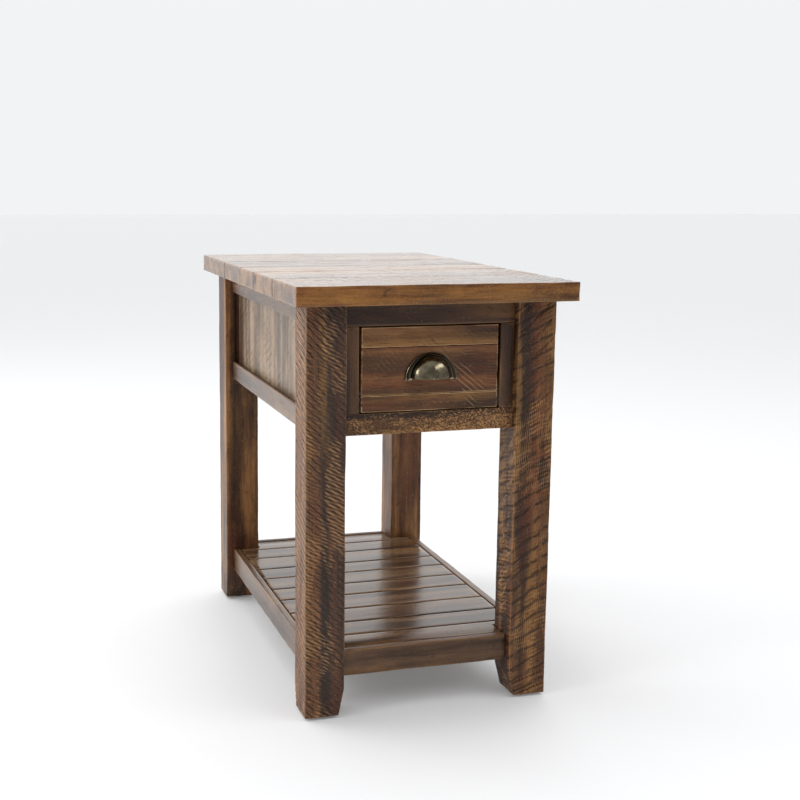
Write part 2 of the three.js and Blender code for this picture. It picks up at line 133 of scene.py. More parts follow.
def board(name, low, high, steps, arris=0.0012, slices=((), (), ()), shape=None):
    """A block of wood with eased corners, divided finely enough to take saw marks.

    steps is the mesh spacing along each axis, slices are the places that shape needs cut
    through, and shape pushes or moves parts of the sliced block before its corners are eased.
    """
    low, high = Vector(low), Vector(high)
    bpy.ops.object.select_all(action="DESELECT")
    bpy.ops.mesh.primitive_cube_add(size=1, location=(low + high) / 2, scale=high - low)
    piece = bpy.context.object
    piece.name = name
    bpy.ops.object.transform_apply(location=True, rotation=True, scale=True)
    with editing(piece):
        for axis in (X, Y, Z):
            for value in slices[axis]:
                slice_at(axis, value)
        if shape:
            shape(piece)
        ease(piece, arris)
        mesh = bmesh.from_edit_mesh(piece.data)
        lows = [min(v.co[a] for v in mesh.verts) for a in (X, Y, Z)]
        highs = [max(v.co[a] for v in mesh.verts) for a in (X, Y, Z)]
        for axis in (X, Y, Z):
            stops = sorted({lows[axis], highs[axis], low[axis], high[axis], *slices[axis]})
            divide(piece, axis, steps[axis], stops)
    return piece


# ---------------------------------------------------------------- marks in the wood


def texture(kind, shallow, deep, **settings):
    """A pattern that is 0 up to one of its own values and 1 from another."""
    made = bpy.data.textures.new(kind.lower(), kind)
    for key, value in settings.items():
        setattr(made, key, value)
    made.use_color_ramp = True
    for element, position, level in zip(made.color_ramp.elements, (shallow, deep), (0, 1)):
        element.position = position
        element.color = (level, level, level, 1)
    return made


def press(piece, pattern, depth, place=(0, 0, 0), scale=(1, 1, 1), group=""):
    """Sinks a texture into the surface. The texture's own space has the given place and scale."""
    holder = bpy.data.objects.new("holder", None)
    bpy.context.scene.collection.objects.link(holder)
    holder.location = place
    holder.scale = scale
    bpy.context.view_layer.update()
    show(piece)
    sink = piece.modifiers.new("sink", "DISPLACE")
    sink.texture = pattern
    sink.texture_coords = "OBJECT"
    sink.texture_coords_object = holder
    sink.strength = -depth
    sink.mid_level = 0.0
    sink.vertex_group = group
    bpy.ops.object.modifier_apply(modifier=sink.name)
    bpy.data.objects.remove(holder)
    bpy.data.textures.remove(pattern)


def warp(piece, depth=0.0005, size=0.06, stretch=(1, 1, 1), group="", shallow=0.25, deep=0.75):
    """Uneven hollows of about the given size."""
    clouds = texture("CLOUDS", shallow, deep, noise_scale=1.0, noise_depth=2)
    press(piece, clouds, depth, scale=[size * s for s in stretch], group=group)


def weigh(piece, name, weight):
    """A vertex group whose weights come from each vertex's place and normal."""
    group = piece.vertex_groups.new(name=name)
    for vert in piece.data.vertices:
        amount = weight(vert.co, vert.normal)
        if amount > 0.01:
            group.add([vert.index], min(1.0, amount), "REPLACE")
    return name


def on_faces(piece, *faces):
    """A vertex group of the given faces, fading out towards their edges."""

    def inside(place, normal):
        return max(0.0, max(normal[axis] * sign for axis, sign in faces) * 4 - 3)

    return weigh(piece, "faces", inside)


def corner_gap(place, low, high):
    """How far a place on a block's surface is from the nearest corner line."""
    return sorted(min(place[a] - low[a], high[a] - place[a]) for a in (X, Y, Z))[1]


RING_GAP = 0.314  # from one ring of the texture to the next, in its own space


def saw(
    piece,
    low,
    high,
    faces,
    depth,
    spacing,
    lean,
    radius=0.7,
    flat=0.4,
    wander=2.0,
    cover=0.2,
    patch=16,
):
    """Shallow arcs on some faces, as a round blade leaves them.

    lean is the direction in which the arcs follow one another, flat is the share of the wood
    left between them, wander is how far they stray, cover from -1 to 1 is how much of the faces
    they mark, and patch is the number of marked places to the metre.
    """
    plain, fade = 0.001, 0.005

    def strength(place, normal):
        if not any(normal[axis] * sign > 0.7 for axis, sign in faces):
            return 0
        inside = min(1.0, max(0.0, (corner_gap(place, low, high) - plain) / fade))
        marked = noise.noise(Vector(place) * patch + Vector((spacing * 900, 0, 0))) * 2.2 + cover
        return inside * min(1.0, max(0.0, marked + 0.5))

    group = weigh(piece, "sawn", strength)
    rings = texture(
        "WOOD",
        flat,
        1.0,
        wood_type="RINGNOISE",
        noise_basis_2="SIN",
        turbulence=wander,
        noise_scale=1.6,
    )
    centre = (Vector(low) + Vector(high)) / 2 + Vector(lean).normalized() * radius
    press(piece, rings, depth, place=centre, scale=[spacing / RING_GAP] * 3, group=group)
    piece.vertex_groups.clear()


def wear_corners(piece, low, high, depth=0.0008, size=0.014, reach=0.0035, stretch=(1, 1, 1)):
    """Rubs the corner lines down unevenly."""
    group = weigh(piece, "corners", lambda place, normal: 1 - corner_gap(place, low, high) / reach)
    warp(piece, depth, size, stretch, group=group, shallow=0.45, deep=0.75)
    piece.vertex_groups.clear()


def number_boards(piece, value):
    """Gives a piece the number that its finish shifts its grain by."""
    numbers = piece.data.attributes.new("board", "FLOAT", "POINT")
    numbers.data.foreach_set("value", [value] * len(piece.data.vertices))


def join(name, parts):
    bpy.ops.object.select_all(action="DESELECT")
    for part in parts:
        part.select_set(True)
    bpy.context.view_layer.objects.active = parts[0]
    bpy.ops.object.join()
    parts[0].name = name
    return parts[0]


def settle(piece, finish, body, slot, *nodes, angle=40):
    """Gives a finished piece its material, its body and the nodes it stands for."""
    show(piece)
    bpy.ops.object.shade_smooth_by_angle(angle=math.radians(angle))
    piece.data.materials.clear()
    piece.data.materials.append(finish)
    piece.vertex_groups.clear()
    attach(piece, body)
    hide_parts(*nodes)
    return piece


# ---------------------------------------------------------------- finishes


def paint(red, green, blue):
    """A colour as it is seen on a screen, 0 to 255, as Blender's linear colour."""
    seen = [c / 255 for c in (red, green, blue)]
    linear = [c / 12.92 if c <= 0.04045 else ((c + 0.055) / 1.055) ** 2.4 for c in seen]
    return (*linear, 1.0)


class Field:
    """A value that varies over a surface. Arithmetic on it adds Math nodes."""

    def __init__(self, finish, socket):
        self.finish = finish
        self.socket = socket

    def math(self, operation, *values):
        settings = {"operation": operation}
        return self.finish.node("ShaderNodeMath", settings, dict(enumerate(values)))

    def __add__(self, other):
        return self.math("ADD", self, other)

    __radd__ = __add__

    def __sub__(self, other):
        return self.math("SUBTRACT", self, other)

    def __rsub__(self, other):
        return self.math("SUBTRACT", other, self)

    def __mul__(self, other):
        return self.math("MULTIPLY", self, other)

    __rmul__ = __mul__

    def sine(self):
        return self.math("SINE", self)

    def rise(self, low, high):
        """0 at low, 1 at high, smooth between them and level outside. low may be the larger."""
        sockets = {"Value": self, "From Min": low, "From Max": high}
        return self.finish.node("ShaderNodeMapRange", {"interpolation_type": "SMOOTHSTEP"}, sockets)


class Finish:
    """A material under construction."""

    def __init__(self, name):
        self.material = bpy.data.materials.new(name)
        self.material.use_nodes = True
        self.tree = self.material.node_tree
        self.shader = self.tree.nodes["Principled BSDF"]
        self.place = self.node("ShaderNodeTexCoord", {}, {}, "Object")

    def node(self, kind, settings, sockets, output=0):
        made = self.tree.nodes.new(kind)
        for key, value in settings.items():
            if key == "stops":
                self.set_stops(made.color_ramp, value)
            else:
                setattr(made, key, value)
        for key, value in sockets.items():
            if isinstance(value, Field):
                self.tree.links.new(value.socket, made.inputs[key])
            else:
                made.inputs[key].default_value = value
        return Field(self, made.outputs[output])

    def set_stops(self, ramp, stops):
        while len(ramp.elements) < len(stops):
            ramp.elements.new(0.5)
        for element, (position, colour) in zip(ramp.elements, stops):
            element.position = position
            element.color = colour

    def stretched(self, place, scale):
        sockets = {0: place, 1: scale}
        return self.node("ShaderNodeVectorMath", {"operation": "MULTIPLY"}, sockets)

    def noise(self, place, scale, detail=2.0, roughness=0.55, distortion=0.0):
        """Soft noise, with its own number of spots to the metre along each axis."""
        sockets = {
            "Vector": self.stretched(place, scale),
            "Scale": 1.0,
            "Detail": detail,
            "Roughness": roughness,
            "Distortion": distortion,
        }
        return self.node("ShaderNodeTexNoise", {}, sockets)

    def along(self, place, direction):
        """How far a place lies along a direction."""
        sockets = {0: place, 1: Vector(direction).normalized()}
        return self.node("ShaderNodeVectorMath", {"operation": "DOT_PRODUCT"}, sockets, "Value")

    def looking(self, direction):
        """1 on faces that look in a direction, 0 on the others."""
        normal = self.node("ShaderNodeNewGeometry", {}, {}, "Normal")
        return self.along(normal, direction).rise(0.5, 0.9)

    def mix(self, amount, first, second):
        """The first colour where amount is 0, the second where it is 1."""
        colours = {0: amount, 6: first, 7: second}
        return self.node("ShaderNodeMix", {"data_type": "RGBA"}, colours, 2)

    def ramp(self, amount, stops):
        return self.node("ShaderNodeValToRGB", {"stops": stops}, {0: amount})

    def done(self, bump=None, distance=0.001, strength=1.0, **sockets):
        for key, value in sockets.items():
            socket = self.shader.inputs[key.replace("_", " ")]
            if isinstance(value, Field):
                self.tree.links.new(value.socket, socket)
            else:
                socket.default_value = value
        if bump:
            values = {"Strength": strength, "Distance": distance, "Height": bump}
            raised = self.node("ShaderNodeBump", {}, values)
            self.tree.links.new(raised.socket, self.shader.inputs["Normal"])
        return self.material


def wood(
    name,
    axis,
    tones,
    red=(104, 50, 26),
    gold=(150, 108, 56),
    stain_and_shade=(38, 23, 13),
    pale_wear_and_highlight=(172, 130, 84),
    edge_wear_and_highlight=0.35,
    gloss=(0.36, 0.56),
    relief=1.0,
    stained=0.5,
    speckled=0.3,
    reddened=0.35,
    gilded=0.3,
    lined=0.5,
    cuts=(),
    grit=0.0,
    glare=0.28,
    striped=0.4,
    shaded=None,
    sway=8,
    glare_grey_and_wax=0.0,
    knotted=1.0,
):
    """Stained wood with its grain along an axis. tones run from the darkest to the palest.

    Each of the cuts is a direction, the spacing of the cuts along it, how much wood they cover,
    how dark their hollows are and how pale their crests.
    shaded is an axis, the places where the wood starts and stops darkening, by how much, and how
    warm the lighter side is. glare_grey_and_wax is how far the faces that look up and the board
    ends are greyed as a painted glare, and how waxed the faces that look up are.
    """
    f = Finish(name)

    def spots(across, lengthwise):
        return tuple(lengthwise if i == axis else across for i in range(3))

    number = f.node("ShaderNodeAttribute", {"attribute_name": "board"}, {}, "Fac")
    step = f.node("ShaderNodeCombineXYZ", {}, {0: number * 3.1, 1: number * 1.7, 2: number * 2.3})
    place = f.node("ShaderNodeVectorMath", {"operation": "ADD"}, {0: f.place, 1: step})
    chance = f.node("ShaderNodeTexWhiteNoise", {"noise_dimensions": "1D"}, {"W": number})

    strips = f.noise(place, spots(46, 1.3), 1, 0.4, 0.2)
    patches = f.noise(place, spots(26, 9), 3, 0.6, 0.5)
    tints = f.noise(place, spots(38, 3), 2, 0.5, 0.3)
    streaks = f.noise(place, spots(110, 6), 4, 0.65, 0.4)
    grain = f.noise(place, spots(480, 18), 3, 0.65)
    flecks = f.noise(place, (330, 330, 330), 2, 0.6)
    blots = f.noise(place, spots(60, 30), 4, 0.7, 1.0)

    rest = 1 - striped
    tone = strips * striped + patches * (0.4 * rest) + streaks * (0.36 * rest) + grain * (0.24 * rest)
    tone = tone + (chance - 0.5) * 0.06
    if shaded:
        across, start, end, amount, warmth = shaded
        darkened = f.along(f.place, unit(across)).rise(start, end)
        tone = tone - darkened * amount
    shares = [i / (len(tones) - 1) for i in range(len(tones))]
    first, spread = 0.425, 0.15
    stops = [(first + spread * share, paint(*tone)) for share, tone in zip(shares, tones)]
    colour = f.ramp(tone, stops)
    if shaded:
        colour = f.mix((1 - darkened) * warmth, colour, paint(134, 86, 46))
    colour = f.mix(tints.rise(0.52, 0.66) * reddened, colour, paint(*red))
    colour = f.mix(tints.rise(0.46, 0.34) * gilded, colour, paint(*gold))
    colour = f.mix(blots.rise(0.56, 0.7) * stained, colour, paint(*stain_and_shade))
    colour = f.mix(grain.rise(0.52, 0.68) * lined, colour, paint(*stain_and_shade))
    colour = f.mix(flecks.rise(0.56, 0.7) * blots.rise(0.55, 0.4) * speckled, colour, paint(*pale_wear_and_highlight))
    colour = f.mix(flecks.rise(0.42, 0.3) * speckled, colour, paint(*stain_and_shade))

    above = f.looking((0, 0, 1))
    # painted glare: the faces that look up and the board ends are mixed towards grey, standing in for
    # the pale reflection they catch
    if glare_grey_and_wax:
        ends = f.looking((1, 0, 0)) + f.looking((-1, 0, 0))
        colour = f.mix((above + ends * 1.4) * glare_grey_and_wax, colour, paint(126, 121, 116))
    cells = {"Vector": f.stretched(place, spots(10, 3.6)), "Scale": 1.0, "Smoothness": 0.2}
    knot = f.node("ShaderNodeTexVoronoi", {"feature": "SMOOTH_F1"}, cells, "Distance") + patches * 0.05
    colour = f.mix(knot.rise(0.2, 0.12) * (0.4 * knotted), colour, paint(*red))
    colour = f.mix(knot.rise(0.12, 0.09) * (0.85 * knotted), colour, paint(*stain_and_shade))
    speckle = f.noise(place, spots(520, 340), 2, 0.6)
    colour = f.mix(speckle.rise(0.48, 0.4) * grit, colour, paint(*stain_and_shade))
    colour = f.mix(speckle.rise(0.53, 0.6) * patches.rise(0.38, 0.5) * grit, colour, paint(*pale_wear_and_highlight))

    height = streaks * 0.4 + grain * 0.4 + flecks * (0.25 + speckled) - blots.rise(0.56, 0.7) * 0.2
    wobble = f.noise(place, (16, 16, 16), 3, 0.6)
    for i, (direction, spacing, cover, dark, light) in enumerate(cuts):
        turns = 2 * math.pi / spacing
        wave = (f.along(f.place, direction) * turns + wobble * (sway * (1 + 0.5 * i))).sine()
        bare = 0.62 - 0.3 * cover
        ground = f.noise(place, (30 + 9 * i, 30, 20 + 7 * i), 2, 0.6).rise(bare, bare + 0.12)
        if glare_grey_and_wax:
            ground = ground * above
        kerf = wave.rise(0.55, 0.97) * ground * streaks.rise(0.36, 0.5)
        crest = wave.rise(-0.82, -0.99) * ground * patches.rise(0.48, 0.56)
        colour = f.mix(kerf * dark, colour, paint(*stain_and_shade))
        colour = f.mix(crest * light, colour, paint(*pale_wear_and_highlight))
        height = height - kerf * dark + crest * 0.2

    bend = f.node("ShaderNodeNewGeometry", {}, {}, "Pointiness")
    # painted shade: concave hollows, kerfs and seams darken towards the stain colour, together with the
    # stain that gathers there
    hollow = bend.rise(0.496, 0.466)
    # convex ridges and corners turn paler: rubbed wear, with a painted highlight along the edges
    ridge = bend.rise(0.51, 0.55) * streaks.rise(0.38, 0.56)
    colour = f.mix(hollow * 0.6, colour, paint(*stain_and_shade))
    colour = f.mix(ridge * edge_wear_and_highlight, colour, paint(*pale_wear_and_highlight))

    low, high = gloss
    dull = low + (high - low) * (grain * 0.5 + flecks * 0.5).rise(0.35, 0.65) + hollow * 0.15
    sheen = {}
    if glare_grey_and_wax:
        gaps = streaks.rise(0.47, 0.58)
        wax = (above - above * gaps * 0.85) * glare_grey_and_wax * 1.3
        sheen = {"Coat_Weight": wax, "Coat_Roughness": 0.2}
    return f.done(
        bump=height,
        distance=0.0011 * relief,
        strength=0.7,
        Base_Color=colour,
        Roughness=dull,
        Specular_IOR_Level=glare,
        **sheen,
    )


def plain_metal(name, colour, spread, low, high, metal=1.0, dark_by=None):
    """Plated or aged metal with a faint mottle.

    low and high are its roughness, and dark_by is the plane near which it turns darker.
    """
    f = Finish(name)
    mottle = f.noise(f.place, (90, 90, 90), 3, 0.6)
    fine = f.noise(f.place, (900, 900, 900), 2)
    bend = f.node("ShaderNodeNewGeometry", {}, {}, "Pointiness")
    shade = f.mix(mottle.rise(0.35, 0.65), paint(*colour), paint(*spread))
    if dark_by is not None:
        depth = f.along(f.place, (0, 1, 0))
        near_drawer_darkening = depth.rise(dark_by - 0.012, dark_by - 0.002)
        shade = f.mix(near_drawer_darkening * 0.9, shade, paint(30, 25, 20))
    return f.done(
        bump=fine * 0.5 + mottle,
        distance=0.0002,
        strength=0.3,
        Base_Color=f.mix(bend.rise(0.52, 0.6) * 0.8, shade, paint(176, 166, 140)),
        Roughness=low + (high - low) * mottle.rise(0.3, 0.7),
        Metallic=metal,
    )


TOP_TONES = [(68, 39, 15), (104, 64, 26), (134, 88, 36), (162, 112, 50)]
LEG_TONES = [(44, 28, 19), (74, 48, 30), (106, 72, 44), (148, 104, 62)]
RAIL_TONES = [(44, 28, 19), (58, 38, 26), (72, 48, 32), (90, 61, 40)]
PANEL_TONES = [(70, 53, 38), (104, 84, 62), (132, 110, 86), (158, 136, 110)]
SLAT_TONES = [(48, 34, 25), (68, 49, 36), (88, 66, 48), (108, 84, 62)]
FRONT_TONES = [(54, 34, 21), (86, 57, 34), (112, 78, 46), (140, 102, 62)]
SHELF_TONES = [(56, 38, 26), (76, 54, 38), (94, 68, 48), (112, 84, 60)]
BOX_TONES = [(150, 112, 72), (178, 138, 92), (198, 160, 112)]
INNER_TONES = [(120, 88, 58), (146, 112, 76), (168, 132, 94)]
EVEN = {
    "knotted": 0.3,
    "reddened": 0.25,
    "gilded": 0.2,
    "speckled": 0.2,
    "edge_wear_and_highlight": 0.3,
    "relief": 0.8,
}
SPLIT = {
    "speckled": 0.42,
    "relief": 1.8,
    "reddened": 0.4,
    "gilded": 0.4,
    "striped": 0.32,
}
FALLING = [((1, -0.36, 1), 0.0074, 0.85, 1.0, 0.65), ((0.5, -0.3, 1), 0.0044, 0.9, 0.75, 0.95)]
RISING = [
    ((-0.5, 0.3, 1), 0.0175, 0.95, 0.75, 0.3),
    ((-0.35, 0.2, 1), 0.0058, 0.6, 0.55, 0.65),
    ((1, 0.1, 0.12), 0.003, 0.8, 0.4, 0.8),
]
GOUGED = [((0, 0.5, 1), 0.012, 0.35, 0.5, 0.5), ((0, 1, 0.03), 0.0045, 0.6, 0.5, 0.4)]
COMBED = [((1, 0, 1.1), 0.0064, 0.25, 0.4, 0.5), ((0.1, 0, 1), 0.0042, 0.35, 0.4, 0.15)]
DASHED = [((1, 0.12, 0), 0.013, 0.25, 0.45, 0.1), ((0, 1, 0.2), 0.008, 0.3, 0.4, 0.0)]

top_finish = wood(
    "sawn_top_boards",
    X,
    TOP_TONES,
    gloss=(0.16, 0.34),
    relief=0.6,
    glare=0.35,
    glare_grey_and_wax=0.27,
    cuts=DASHED,
)
leg_finish_left = wood(
    "sawn_leg_left",
    Z,
    LEG_TONES,
    cuts=FALLING,
    shaded=(X, -0.167, -0.155, 0.045, 0.5),
    glare=0.4,
    **SPLIT,
)
leg_finish_right = wood(
    "sawn_leg_right",
    Z,
    LEG_TONES,
    cuts=RISING,
    shaded=(X, 0.162, 0.14, 0.022, 0.42),
    stained=0.35,
    **SPLIT,
)
leg_finish_rear = wood("planed_legs", Z, LEG_TONES, gloss=(0.3, 0.46))
rail_finish_x = wood("dark_rails_across", X, RAIL_TONES, gloss=(0.32, 0.46), **EVEN)
rail_finish_y = wood("dark_rails_along", Y, SHELF_TONES, gloss=(0.26, 0.4), glare=0.85, **EVEN)
shelf_finish_x = wood("shelf_rails_across", X, SHELF_TONES, gloss=(0.32, 0.46), **EVEN)
stile_finish = wood("dark_stiles", Z, RAIL_TONES, gloss=(0.32, 0.46), **EVEN)
rough_finish = wood(
    "rough_bottom_rail",
    X,
    LEG_TONES,
    gloss=(0.4, 0.6),
    relief=2.0,
    speckled=0.7,
    grit=0.75,
)
plank_finish = wood(
    "apron_planks",
    Z,
    PANEL_TONES,
    gloss=(0.28, 0.44),
    stained=0.3,
    cuts=GOUGED,
    glare=0.75,
)
SMOOTH = {**EVEN, "relief": 0.2}
slat_finish = wood("satin_slats", X, SLAT_TONES, gloss=(0.17, 0.25), glare=0.6, **SMOOTH)
front_finish = wood(
    "drawer_front_boards",
    X,
    FRONT_TONES,
    gloss=(0.34, 0.5),
    cuts=COMBED,
    reddened=0.45,
    edge_wear_and_highlight=1.0,
    pale_wear_and_highlight=(184, 150, 110),
    speckled=0.12,
    shaded=(X, 0.0, 0.07, 0.045, 0.2),
)
box_finish = wood("drawer_box_wood", Y, BOX_TONES, stained=0.1, edge_wear_and_highlight=0.2)
box_finish_x = wood("drawer_box_ends", X, BOX_TONES, stained=0.1, edge_wear_and_highlight=0.2)
hidden_finish = wood("inner_wood", Y, INNER_TONES, stained=0.2)
pull_low, pull_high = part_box("cup_pull")
pull_finish = plain_metal(
    "aged_pull",
    (98, 91, 74),
    (128, 119, 98),
    0.15,
    0.24,
    dark_by=pull_high.y,
)
steel_finish = plain_metal("zinc_slides", (176, 180, 184), (198, 200, 202), 0.25, 0.4)
screw_finish = plain_metal("screws", (150, 150, 146), (176, 176, 172), 0.3, 0.45)
glide_finish = plain_metal("dark_glides", (30, 27, 24), (40, 36, 32), 0.6, 0.75, metal=0.0)

# ---------------------------------------------------------------- top

for i in range(1, 6):
    node = f"top_board_{i}"
    low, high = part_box(node)
    piece = board(f"sawn_top_board_{i}", low, high, steps=(0.0035, 0.004, 0.004))
    warp(piece, depth=0.0005, size=0.05, stretch=(4, 1, 1))
    if i in (1, 2):
        saw(
            piece,
            low,
            high,
            [(Z, 1)],
            depth=0.0008,
            spacing=0.019,
            lean=(1, 0.15, 0),
            radius=0.4,
            flat=0.6,
            cover=0.4,
            patch=9,
        )
    warp(piece, depth=0.0004, size=0.006, stretch=(6, 1, 1))
    wear_corners(piece, low, high, stretch=(3, 1, 1))
    number_boards(piece, i)
    settle(piece, top_finish, "table_frame", "top_boards", node)

# ---------------------------------------------------------------- legs

panel_low, panel_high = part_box("side_panel_left")
rear_low, rear_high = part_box("rear_panel")
GROOVE_OPEN = 0.007
GROOVE_SLACK = 0.0003
groove_bottom = panel_low.z - GROOVE_SLACK
groove_top = panel_high.z + GROOVE_SLACK
groove_outer = -panel_low.x + GROOVE_OPEN
groove_inner = -panel_high.x - GROOVE_SLACK
rear_groove_outer = rear_high.y + GROOVE_OPEN
rear_groove_inner = rear_low.y - GROOVE_SLACK
INNER_X, INNER_Y, _ = -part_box("leg_front_left")[1]
groove_depth = panel_high.y - INNER_Y + GROOVE_SLACK
TAPER_TOP = 0.042
TAPER = {X: 0.008, Y: 0.007}
FINE_STEPS = (0.0018, 0.0018, 0.0017)
PLAIN_STEPS = (0.003, 0.003, 0.003)
LEFT_SAW = {
    "depth": 0.0009,
    "spacing": 0.0074,
    "lean": (0.9, -0.36, 1),
    "flat": 0.7,
    "cover": 0.5,
}
RIGHT_SAW = {
    "depth": 0.0013,
    "spacing": 0.0175,
    "lean": (-0.5, 0.3, 1),
    "radius": 0.6,
    "flat": 0.8,
    "wander": 1.0,
    "cover": 0.6,
}
RIPPLE = {"depth": 0.0005, "spacing": 0.0055, "lean": (1, 0.1, 0.2), "radius": 0.5, "flat": 0.5}


def leg(end, sy, side, sx, count):
    """A leg with grooves for the panels and a foot that tapers on its two inner faces."""
    node = f"leg_{end}_{side}"
    low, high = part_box(node)
    inner_x = high.x if sx < 0 else low.x
    inner_y = high.y if sy < 0 else low.y
    grooved_x = sorted((sx * groove_outer, sx * groove_inner))
    slices_y = ()
    if sy > 0:
        slices_y = (rear_groove_inner, rear_groove_outer)

    def shape(piece):
        def foot(place):
            return place.z < low.z + NEAR

        def inner_in_x(vert):
            return foot(vert.co) and abs(vert.co.x - inner_x) < NEAR

        def inner_in_y(vert):
            return foot(vert.co) and abs(vert.co.y - inner_y) < NEAR

        move_verts(piece, inner_in_x, (sx * TAPER[X], 0, 0))
        move_verts(piece, inner_in_y, (0, sy * TAPER[Y], 0))

        def side_groove(face):
            middle = face.calc_center_median()
            level = groove_bottom < middle.z < groove_top
            return facing(face, Y, -sy) and level and grooved_x[0] < middle.x < grooved_x[1]

        push_faces(piece, side_groove, (0, sy * groove_depth, 0))
        if sy > 0:

            def rear_groove(face):
                middle = face.calc_center_median()
                level = groove_bottom < middle.z < groove_top
                across = rear_groove_inner < middle.y < rear_groove_outer
                return facing(face, X, -sx) and level and across

            push_faces(piece, rear_groove, (sx * groove_depth, 0, 0))

    slices = (grooved_x, slices_y, (TAPER_TOP, groove_bottom, groove_top))
    steps = FINE_STEPS if end == "front" else PLAIN_STEPS
    piece = board(f"sawn_{node}", low, high, steps, 0.0016, slices, shape)
    warp(piece, depth=0.0008, size=0.05, stretch=(1, 1, 4))
    if end == "front":
        outer = [(Y, -1), (X, sx)]
        for marks in [LEFT_SAW] if side == "left" else [RIGHT_SAW, RIPPLE]:
            saw(piece, low, high, outer, **marks)
    warp(piece, depth=0.0003, size=0.008, stretch=(1, 1, 4))
    wear_corners(piece, low, high, depth=0.0009, stretch=(1, 1, 3))
    number_boards(piece, 10 + count)
    finish = leg_finish_rear
    if end == "front":
        finish = leg_finish_left if side == "left" else leg_finish_right
    settle(piece, finish, "table_frame", "leg_wood", node)


count = 0
for end, sy in (("front", -1), ("rear", 1)):
    for side, sx in (("left", -1), ("right", 1)):
        leg(end, sy, side, sx, count)
        count += 1

BITE = 0.003

# ---------------------------------------------------------------- rails


def unit_stretch(axis, length=4):
    return tuple(length if i == axis else 1 for i in range(3))


def rail(node, axis, sign, level, finish, rough=False):
    """An apron rail. Its lips are pushed out beside the panel's groove."""
    low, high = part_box(node)
    reach = (INNER_X if axis == X else INNER_Y) + BITE
    low[axis], high[axis] = -reach, reach
    across = Y if axis == X else X
    slices = [(), (), ()]
    body_low, body_high = low.copy(), high.copy()
    grooved = not (axis == X and sign < 0)
    if grooved:
        outer, inner = groove_outer, groove_inner
        if axis == X:
            outer, inner = rear_groove_outer, rear_groove_inner
        cuts = sorted((sign * outer, sign * inner))
        slices[across] = tuple(cuts)
        if level == "top":
            body_low.z = groove_top
        else:
            body_high.z = groove_bottom

    def shape(piece):
        if not grooved:
            return
        towards = -1 if level == "top" else 1
        height = body_low.z - low.z if level == "top" else high.z - body_high.z

        def lip(face):
            middle = face.calc_center_median()[across]
            return facing(face, Z, towards) and not cuts[0] < middle < cuts[1]

        push_faces(piece, lip, (0, 0, towards * height))

    steps = [0.002 if rough else 0.004] * 3
    piece = board(f"dark_{node}", body_low, body_high, steps, 0.001, slices, shape)
    warp(piece, depth=0.0005, size=0.05, stretch=unit_stretch(axis))
    if rough:
        front = on_faces(piece, (Y, -1))
        warp(piece, depth=0.0014, size=0.005, stretch=(2, 1, 1), group=front, shallow=0.35, deep=0.65)
        piece.vertex_groups.clear()
    wear_corners(piece, low, high, depth=0.0005, stretch=unit_stretch(axis, 3))
    number_boards(piece, len(node) + 3 * sign + axis)
    settle(piece, finish, "table_frame", "rail_wood", node)


for level in ("top", "bottom"):
    for end, sign in (("front", -1), ("rear", 1)):
        rough = level == "bottom" and end == "front"
        rail(f"{end}_{level}_rail", X, sign, level, rough_finish if rough else rail_finish_x, rough)
    for side, sign in (("left", -1), ("right", 1)):
        rail(f"{side}_{level}_rail", Y, sign, level, rail_finish_y)

for count, side in enumerate(("left", "right")):
    node = f"front_stile_{side}"
    low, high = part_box(node)
    piece = board(f"dark_{node}", low, high, (0.004, 0.004, 0.004), 0.0007)
    warp(piece, depth=0.0003, size=0.04, stretch=(1, 1, 4))
    number_boards(piece, 30 + count)
    settle(piece, stile_finish, "table_frame", "rail_wood", node)

# ---------------------------------------------------------------- planked panels


SEAM = 0.0001
PLANK_SAW = {
    "depth": 0.001,
    "spacing": 0.014,
    "lean": (0, 0.5, 1),
    "radius": 0.5,
    "flat": 0.65,
    "cover": 0.4,
}


def planked(name, node, axis, sign, seams, first):
    """Upright planks side by side. seams are the places of the joints along the panel."""
    low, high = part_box(node)
    across = Y if axis == X else X
    stops = [low[axis], *seams, high[axis]]
    planks = []
    for i, (start, end) in enumerate(zip(stops, stops[1:])):
        a, b = low.copy(), high.copy()
        a[axis], b[axis] = start + SEAM, end - SEAM
        steps = [0.003, 0.003, 0.0025]
        steps[across] = 0.004
        plank = board(f"{name}_{i}", a, b, steps, 0.0011)
        warp(plank, depth=0.0005, size=0.03, stretch=(1, 1, 5))
        if (i + first) % 3 == 1:
            saw(plank, a, b, [(across, sign)], **PLANK_SAW)
        else:
            warp(plank, depth=0.0005, size=0.005, stretch=(1, 1, 12), shallow=0.3, deep=0.7)
        number_boards(plank, first + i)
        planks.append(plank)
    piece = join(name, planks)
    settle(piece, plank_finish, "table_frame", "panel_wood", node)


SIDE_SEAMS = (-0.179, -0.102, -0.018, 0.0635, 0.130, 0.175)
REAR_SEAMS = (-0.0607, -0.0042, 0.069)
planked("left_apron_planks", "side_panel_left", Y, -1, SIDE_SEAMS, 40)
planked("right_apron_planks", "side_panel_right", Y, 1, SIDE_SEAMS, 50)
planked("rear_apron_planks", "rear_panel", X, 1, REAR_SEAMS, 60)

# ---------------------------------------------------------------- shelf

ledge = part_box("shelf_slat_1")[0].z
LIP = 0.011
REVEAL = 0.0015


